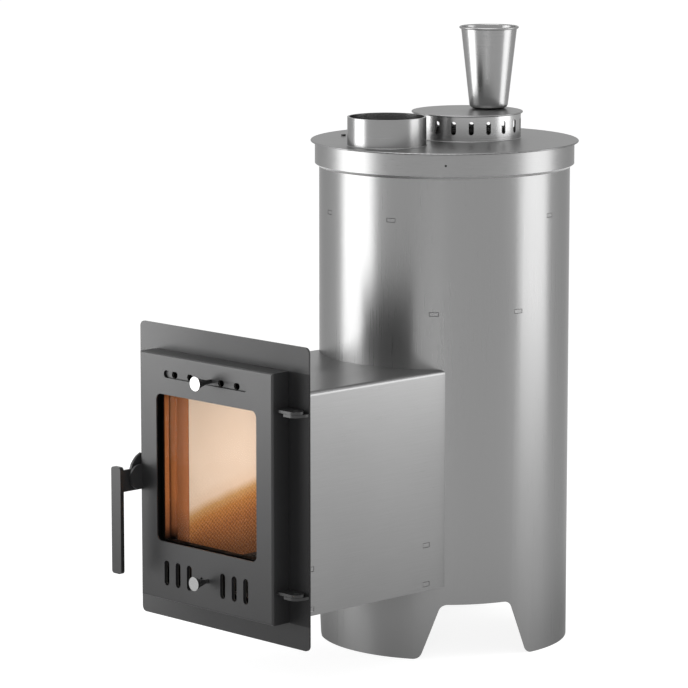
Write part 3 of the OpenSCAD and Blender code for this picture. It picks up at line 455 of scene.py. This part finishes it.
def firebrick(name):
    """Pressed fire-clay board: speckled brown, pale above a sloping line as painted light."""
    mat, tree, bsdf = new_material(name)
    at = position(tree)
    wander = grain_noise(tree, CLAY_WANDER_GRAIN)
    # Painted light: a pale lit patch above a line that rises towards the fire, orange at its
    # edge
    slope = math_node(tree, "MULTIPLY", at["Y"], LIGHT_POOL_SLOPE)
    line = wavering(tree, math_node(tree, "SUBTRACT", at["Z"], slope), wander, LIGHT_POOL_WANDER)
    share = share_of_band(tree, line, LIGHT_POOL_LEVEL, LIGHT_POOL_BAND)
    light_pool = ramp(tree, share, *LIGHT_POOL_COLOURS)
    # Darker near the front
    depth = share_of_band(tree, at["Y"], SHADE_START_Y, SHADE_BAND)
    shade = ramp(tree, depth, (0.0, SHADE_LEVEL), (1.0, 1.0))
    light_pool = mix(tree, 1.0, light_pool, shade, "MULTIPLY")
    # The front ends of the boards keep the brown, without the painted light, darker towards the
    # bottom
    behind = math_node(tree, "GREATER_THAN", at["Y"], FRONT_END_Y)
    rise = wavering(tree, at["Z"], wander, END_WANDER)
    rise = share_of_band(tree, rise, END_LOW_Z, END_BAND)
    end = ramp(tree, rise, (0.0, END_LOW), (1.0, END_HIGH))
    body = mix(tree, behind, end, light_pool)
    # The grit shows on the brown and hardly in the painted light
    speckle = clay_speckle(tree)
    cells = add(tree, "TexVoronoi", Vector=coords(tree, CLAY_CELL_GRAIN), Scale=1.0)
    coarse = ramp(tree, share, *GRIT_FADE)
    grit = two_tone(tree, speckle, low=0.6, high=1.28, edge=0.38)
    dots = ramp(tree, cells.outputs["Distance"], *CELL_DOTS)
    body = mix(tree, coarse, body, grit, "MULTIPLY")
    body = mix(tree, coarse, body, dots, "MULTIPLY")
    # Soot at the bottom, below a line that falls towards the fire
    fall = math_node(tree, "MULTIPLY", at["Y"], ASH_SLOPE)
    level = math_node(tree, "ADD", at["Z"], fall)
    sooty = share_of_band(tree, level, ASH_LEVEL, -ASH_BAND, clamp=True)
    body = mix(tree, sooty, body, ASH)
    feed(tree, bsdf, Base_Color=body, Roughness=0.92, Specular_IOR_Level=0.2)
    bump(tree, bsdf, speckle, depth=0.2 * MM, strength=0.6)
    return mat


# Cast iron, braid and glass

IRON_FINE_GRAIN = 350
IRON_BLOTCH_GRAIN = 25
IRON_DARK = (0.035, 0.034, 0.033)
IRON_LIGHT = (0.1, 0.09, 0.08)
FUZZ_GRAIN = 900
GASKET_BLACK = (0.003, 0.003, 0.003)
ROPE_GREY = (0.34, 0.32, 0.28)
HAZE_GRAIN = 22
HAZE_EDGE = 0.35
GLASS_CLEAR = (1.0, 0.95, 0.9)
GLASS_HAZY = (0.97, 0.91, 0.85)
GLASS_SHADOW = (0.97, 0.94, 0.9, 1)
GLASS_IOR = 1.06


def iron(name):
    """Rough, nearly black cast iron."""
    mat, tree, bsdf = new_material(name)
    fine = grain_noise(tree, IRON_FINE_GRAIN, detail=5.0, rough=0.7)
    blotch = grain_noise(tree, IRON_BLOTCH_GRAIN)
    tone = weighted(tree, fine, blotch, share=0.5)
    feed(tree, bsdf, Base_Color=two_tone(tree, tone, IRON_DARK, IRON_LIGHT), Metallic=0.5,
         Roughness=0.75)
    bump(tree, bsdf, fine, depth=0.8 * MM, strength=0.8)
    return mat


def fabric(name, colour, pitch, sheen=0.25):
    """Glass-fibre braid: two crossed sets of strands, a pitch apart."""
    mat, tree, bsdf = new_material(name)
    waves = [add(tree, "TexWave", Vector=coords(tree, 1 / pitch, triple(math.radians(turn))),
                 Scale=1.0, Distortion=0.4, Detail=1.0).outputs["Fac"] for turn in (45, -45)]
    weave = math_node(tree, "MAXIMUM", *waves)
    fuzz = grain_noise(tree, FUZZ_GRAIN, rough=0.7)
    tone = weighted(tree, weave, fuzz, share=0.6)
    feed(tree, bsdf, Base_Color=vary(tree, tone, colour, low=0.5, high=1.3, edge=0.2),
         Roughness=0.95, Sheen_Weight=sheen, Specular_IOR_Level=sheen)
    bump(tree, bsdf, tone, depth=0.6 * MM, strength=0.8)
    return mat


def glass(name):
    """Window glass with a light smoke haze, which casts hardly any shadow."""
    mat, tree, bsdf = new_material(name)
    haze = grain_noise(tree, HAZE_GRAIN, detail=4.0)
    feed(tree, bsdf, Base_Color=two_tone(tree, haze, GLASS_CLEAR, GLASS_HAZY, HAZE_EDGE),
         Roughness=two_tone(tree, haze, low=0.015, high=0.03, edge=HAZE_EDGE),
         IOR=GLASS_IOR, Transmission_Weight=1.0)
    clear = add(tree, "BsdfTransparent", Color=GLASS_SHADOW)
    path = add(tree, "LightPath")
    both = add(tree, "MixShader", i0=path.outputs["Is Shadow Ray"], i1=bsdf.outputs[0],
               i2=clear.outputs[0])
    show(tree, both.outputs[0])
    return mat


# The materials, and which node has which

casing_steel = brushed("casing_steel", level=0.27, rough=0.3, grain=(900, 900, 12), aniso=0.5,
                       spread=0.02, turn=0.25, relief=0.25)
cover_steel = brushed("cover_steel", level=0.27, rough=0.3, grain=(900, 14, 900), aniso=0.3)
lid_steel = brushed("lid_steel", level=0.26, rough=0.34, grain=(14, 900, 900), aniso=0.2)
# The band's faces that look down get painted light, against their dark reflection
band_steel = brushed("band_steel", level=0.27, rough=0.3, grain=(60, 60, 900), aniso=0.2,
                     painted_light_under=1.0)
collar_steel = turned("collar_steel", level=0.27, rough=0.24, centre=axis_of("flue_collar"))
ring_steel = turned("ring_steel", level=0.38, rough=0.26, centre=axis_of("valve_ring"))
disc_steel = turned("disc_steel", level=0.26, rough=0.32, centre=axis_of("valve_ring"),
                    rings=500.0)
cup_steel = turned("cup_steel", level=0.29, rough=0.24, centre=axis_of("cup"), rings=1100.0)
inner_steel = scaled_steel("inner_steel", rough=0.55)
pin_steel = polished("pin_steel", level=0.3, rough=0.3)
# Painted reflection: the door's gloss fades towards the bottom, the plate's towards the hinges
door_paint = painted("door_paint", PAINT_BLACK, rough=PAINT_ROUGH, gloss=0.5,
                     painted_sheen_fade=("Z", ((0.1, 0.76), (0.35, 0.9), (0.46, 1.04))))
portal_paint = painted("portal_paint", PAINT_BLACK, rough=PAINT_ROUGH, gloss=0.6, mouth=True,
                       painted_sheen_fade=("X", ((-0.17, 1.0), (-0.03, 0.58), (0.13, 0.48))))
dark_paint = painted("dark_paint", PAINT_DARK_GREY, rough=0.5, gloss=0.4)
slide_paint = painted("slide_paint", PAINT_BLACK, rough=PAINT_ROUGH, gloss=0.5)
browned_steel = stained_steel("browned_steel")
screw_black = painted("screw_black", SCREW_BLACK, rough=0.45, gloss=0.4)
brick = firebrick("firebrick")
grate_iron = iron("grate_iron")
gasket_cloth = fabric("gasket_cloth", GASKET_BLACK, pitch=1.2 * MM, sheen=0.0)
rope_cloth = fabric("rope_cloth", ROPE_GREY, pitch=1.4 * MM)
window_glass = glass("window_glass")
knob_bright = polished("knob_bright", level=0.5, rough=0.12)
# A darker copy of the knob face, for the lower knob: painted shade
knob_face_shaded = polished("knob_face_shaded", level=0.36, rough=0.16)
knob_steel = polished("knob_steel", level=0.2, rough=0.3)

FINISHES = (
    (casing_steel, ("outer_casing", "casing_spacers")),
    (cover_steel, ("channel_casing", "channel_spacers")),
    (lid_steel, ("lid_plate",)),
    (band_steel, ("lid_band",)),
    (collar_steel, ("flue_collar",)),
    (ring_steel, ("valve_ring", "valve_spigot")),
    (disc_steel, ("valve_disc",)),
    (cup_steel, ("cup",)),
    (pin_steel, ("hinge_pins", "keeper_pin", "pin_spacer", "retainer_screws")),
    (door_paint, ("door_shell", "door_straps", "handle_grip", "hinge_lugs")),
    (portal_paint, ("portal_plate",)),
    (dark_paint, ("keeper_plate", "handle_ear", "handle_lever", "handle_pin", "pin_cap")),
    (slide_paint, ("upper_slide", "lower_slide")),
    (browned_steel, ("door_inner_panel", "glass_retainer", "grate_rails")),
    (screw_black, ("band_screws", "lid_plug")),
    (brick, ("side_linings",)),
    (grate_iron, ("grate",)),
    (gasket_cloth, ("glass_gasket",)),
    (rope_cloth, ("door_seal",)),
    (window_glass, ("door_glass",)),
    (knob_bright, ("upper_knob_face",)),
    (knob_face_shaded, ("lower_knob_face",)),
    (knob_steel, ("upper_knob", "lower_knob")),
)
finish_of = {node: finish for finish, nodes in FINISHES for node in nodes}
for node_name, node_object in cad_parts.items():
    node_object.data.materials.clear()
    node_object.data.materials.append(finish_of.get(node_name, inner_steel))


# Meshes

def put(name, data):
    """A new object in the scene."""
    thing = bpy.data.objects.new(name, data)
    bpy.context.scene.collection.objects.link(thing)
    return thing


def mesh_piece(name, bm):
    """The object that a finished bmesh becomes."""
    mesh = bpy.data.meshes.new(name)
    bm.to_mesh(mesh)
    bm.free()
    return put(name, mesh)


def loft(name, rings):
    """A smooth piece through rings of points, whose last ring joins the first."""
    bm = bmesh.new()
    loops = [[bm.verts.new(point) for point in ring] for ring in rings]
    for i, here in enumerate(loops):
        ahead = loops[(i + 1) % len(loops)]
        for k in range(len(here)):
            after = (k + 1) % len(here)
            bm.faces.new((here[k], ahead[k], ahead[after], here[after]))
    bmesh.ops.recalc_face_normals(bm, faces=bm.faces)
    piece = mesh_piece(name, bm)
    for face in piece.data.polygons:
        face.use_smooth = True
    return piece


# Soft seals, swept along a rounded frame in the door's plane

SEAL_CLEARANCE = 0.02 * MM
SEAL_SIDES = 16
SEAL_LOBES = 3
SEAL_ROUNDNESS = 0.75


def rounded_path(x0, z0, x1, z1, r, steps=10):
    """Points of a rounded rectangle in X and Z, in order."""
    points = []
    corners = ((x1 - r, z1 - r, 0), (x0 + r, z1 - r, 90), (x0 + r, z0 + r, 180),
               (x1 - r, z0 + r, 270))
    for cx, cz, start in corners:
        for i in range(steps + 1):
            a = math.radians(start + 90 * i / steps)
            points.append((cx + r * math.cos(a), cz + r * math.sin(a)))
    return points


def resample(points, step):
    """Even points along a closed path."""
    out = []
    for i, p in enumerate(points):
        q = points[(i + 1) % len(points)]
        count = max(1, round(math.dist(p, q) / step))
        for k in range(count):
            t = k / count
            out.append((p[0] + (q[0] - p[0]) * t, p[1] + (q[1] - p[1]) * t))
    return out


def soft_section(half_w, half_d, angle, ripple):
    """A section fuller than an ellipse, with a braid's ripples turned by an angle."""
    section = []
    for k in range(SEAL_SIDES):
        a = 2 * math.pi * k / SEAL_SIDES
        wave = 1 - ripple * (0.5 + 0.5 * math.cos(SEAL_LOBES * (a + angle)))
        c, s = math.cos(a), math.sin(a)
        section.append((half_w * wave * math.copysign(abs(c) ** SEAL_ROUNDNESS, c),
                        half_d * wave * math.copysign(abs(s) ** SEAL_ROUNDNESS, s)))
    return section


def swept_seal(name, node, half_w, corner, step, twist, ripple):
    """A braid round the edge of a node's box; twist is its turn at each step, in radians."""
    lo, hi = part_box(node)
    half_d = (hi.y - lo.y) / 2 - SEAL_CLEARANCE
    y_mid = (lo.y + hi.y) / 2
    points = resample(rounded_path(lo.x + half_w, lo.z + half_w, hi.x - half_w,
                                   hi.z - half_w, corner), step)
    rings = []
    for i, (x, z) in enumerate(points):
        ax, az = points[i - 1]
        bx, bz = points[(i + 1) % len(points)]
        along = Vector((bx - ax, 0, bz - az)).normalized()
        side = Vector((along.z, 0, -along.x))
        rings.append([Vector((x, y_mid, z)) + side * u + Vector((0, v, 0))
                      for u, v in soft_section(half_w, half_d, i * twist, ripple)])
    return loft(name, rings)


def make_rope_seal():
    """The door's rope, a twisted braid."""
    piece = swept_seal("rope_seal", "door_seal", half_w=2.45 * MM, corner=5 * MM,
                       step=1.6 * MM, twist=0.33, ripple=0.1)
    piece.data.materials.append(rope_cloth)
    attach(piece, "door")
    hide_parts("door_seal")


def make_glass_tape():
    """The glass's flat tape, nearly smooth."""
    piece = swept_seal("glass_tape", "glass_gasket", half_w=4.45 * MM, corner=13 * MM,
                       step=3 * MM, twist=0.25, ripple=0.02)
    piece.data.materials.append(gasket_cloth)
    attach(piece, "door")
    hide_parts("glass_gasket")


# Weld beads

BEAD_SIZE = 0.8 * MM
BEAD_SWELL = 0.16
BEAD_SIDES = 6
STEPS_PER_RIPPLE = 4
ROOT_DEPTH = 0.1 * MM
ROOT_UP = 0.02 * MM


def bead_ring(name, pipe, ripples):
    """A fillet weld where an upright pipe meets the lid, with the scales that a torch leaves."""
    centre = axis_of(pipe)
    lo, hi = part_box(pipe)
    radius = (hi.x - lo.x) / 2
    lid_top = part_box("lid_plate")[1].z
    steps = ripples * STEPS_PER_RIPPLE
    rings = []
    for i in range(steps):
        a = 2 * math.pi * i / steps
        size = BEAD_SIZE * (1 + BEAD_SWELL * math.cos(a * ripples))
        # From the lid up to the pipe, as a hollow quarter circle, and its root in the pipe
        section = []
        for k in range(BEAD_SIDES):
            b = math.pi / 2 * k / (BEAD_SIDES - 1)
            section.append((radius + size * (1 - math.sin(b)), size * (1 - math.cos(b))))
        section.append((radius - ROOT_DEPTH, ROOT_UP))
        rings.append([(centre[0] + r * math.cos(a), centre[1] + r * math.sin(a), lid_top + up)
                      for r, up in section])
    piece = loft(name, rings)
    piece.data.materials.append(lid_steel)
    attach(piece, "stove")


make_rope_seal()
make_glass_tape()
bead_ring("collar_weld", "flue_collar", ripples=90)
bead_ring("ring_weld", "valve_ring", ripples=120)


# Studio

WHITE = (1, 1, 1, 1)
WORLD_LIGHT = 0.5
FLOOR_SIZE = 30.0
FLOOR_COLOUR = (0.82, 0.82, 0.82, 1)
FLOOR_SHARE = 0.65
FLOOR_WHITE = 1.35
FLOOR_MIRRORED = 1.2
FLOOR_REACH = 2.0
# Painted shade in reflections: the mirrored glow's share, from near the object outwards
FLOOR_STOPS = ((0.15, 0.5), (0.38, 0.84), (0.85, 1.0))


def seen_share(tree, path):
    """1 on rays that the camera or a reflection sends, 0 on rays that light the object."""
    seen = math_node(tree, "MAXIMUM", path.outputs["Is Camera Ray"],
                     path.outputs["Is Glossy Ray"])
    return math_node(tree, "MAXIMUM", seen, path.outputs["Is Transmission Ray"])


def white_floor(tree, shader):
    """The shader with a share of white glow, which metal mirrors fainter near the object as
    painted shade.
    """
    path = add(tree, "LightPath")
    far = share_of_band(tree, radius_from(tree, (0, 0, 0)), 0.0, FLOOR_REACH)
    mirrored = ramp(tree, far, *((at, share * FLOOR_MIRRORED) for at, share in FLOOR_STOPS))
    direct = math_node(tree, "MULTIPLY", path.outputs["Is Camera Ray"], FLOOR_WHITE)
    glow = add(tree, "Emission", Color=WHITE,
               Strength=math_node(tree, "MAXIMUM", direct, mirrored))
    fac = math_node(tree, "MULTIPLY", seen_share(tree, path), FLOOR_SHARE)
    return add(tree, "MixShader", i0=fac, i1=shader, i2=glow.outputs[0]).outputs[0]


def make_floor():
    """A plain pale floor that keeps the stove's shadow."""
    bm = bmesh.new()
    bmesh.ops.create_grid(bm, x_segments=2, y_segments=2, size=FLOOR_SIZE)
    floor = mesh_piece("floor", bm)
    mat, tree, bsdf = new_material("floor_white")
    feed(tree, bsdf, Base_Color=FLOOR_COLOUR, Roughness=0.9, Specular_IOR_Level=0.1)
    show(tree, white_floor(tree, bsdf.outputs[0]))
    floor.data.materials.append(mat)


def make_world():
    """A white backdrop that lights the object with only a share of its white."""
    world = bpy.data.worlds.new("studio")
    bpy.context.scene.world = world
    world.use_nodes = True
    tree = world.node_tree
    tree.nodes.clear()
    seen = seen_share(tree, add(tree, "LightPath"))
    strength = math_node(tree, "ADD", math_node(tree, "MULTIPLY", seen, 1.0 - WORLD_LIGHT),
                         WORLD_LIGHT)
    back = add(tree, "Background", Color=WHITE, Strength=strength)
    add(tree, "OutputWorld", Surface=back.outputs[0])


def softbox(name, at, aim, size, watts, seen=True):
    """A lamp of a width and a height; where seen is off, only its light shows."""
    data = bpy.data.lights.new(name, "AREA")
    data.shape = "RECTANGLE"
    data.size, data.size_y = size
    data.energy = watts
    lamp = put(name, data)
    lamp.location = at
    lamp.rotation_euler = (Vector(aim) - Vector(at)).to_track_quat("-Z", "Y").to_euler()
    if not seen:
        lamp.visible_camera = False
        lamp.visible_glossy = False
        lamp.visible_transmission = False


make_floor()
make_world()
softbox("left_box", at=(-1.193, -1.485, 0.66), aim=(0.103, -0.096, 0.66), size=(1.3, 1.3),
        watts=21)
softbox("right_box", at=(1.5, 1.32, 0.74), aim=(0.1, -0.1, 0.74), size=(1.24, 1.3), watts=12.9)
softbox("top_box", at=(0.3, -0.6, 2.9), aim=(0, 0, 0.4), size=(2.0, 2.0), watts=28)
softbox("fire_glow", at=(0.074, -0.3, 0.28), aim=(-0.077, -0.3, 0.28), size=(0.26, 0.24),
        watts=0.25, seen=False)
softbox("door_fill", at=(1.5, -2.0, 0.36), aim=(0, -0.44, 0.3), size=(0.6, 0.6), watts=23,
        seen=False)


# Camera at the photograph's viewing angle

PHOTO_PX = 688
PHOTO_FOCAL_PX = 3734.0
SENSOR_MM = 36.0
CLIP = (0.1, 100)
CAMERA_AT = (3.838, -3.915, 1.324)
CAMERA_PITCH = 9.2
CAMERA_TURN = 45.98


def make_camera():
    """The camera, pitched down a little instead of shifted."""
    data = bpy.data.cameras.new("camera")
    data.sensor_width = SENSOR_MM
    data.lens = PHOTO_FOCAL_PX * SENSOR_MM / PHOTO_PX
    data.clip_start, data.clip_end = CLIP
    camera = put("camera", data)
    camera.location = CAMERA_AT
    camera.rotation_euler = (math.radians(90 - CAMERA_PITCH), 0, math.radians(CAMERA_TURN))
    bpy.context.scene.camera = camera


make_camera()

bpy.context.scene.view_settings.view_transform = "Standard"
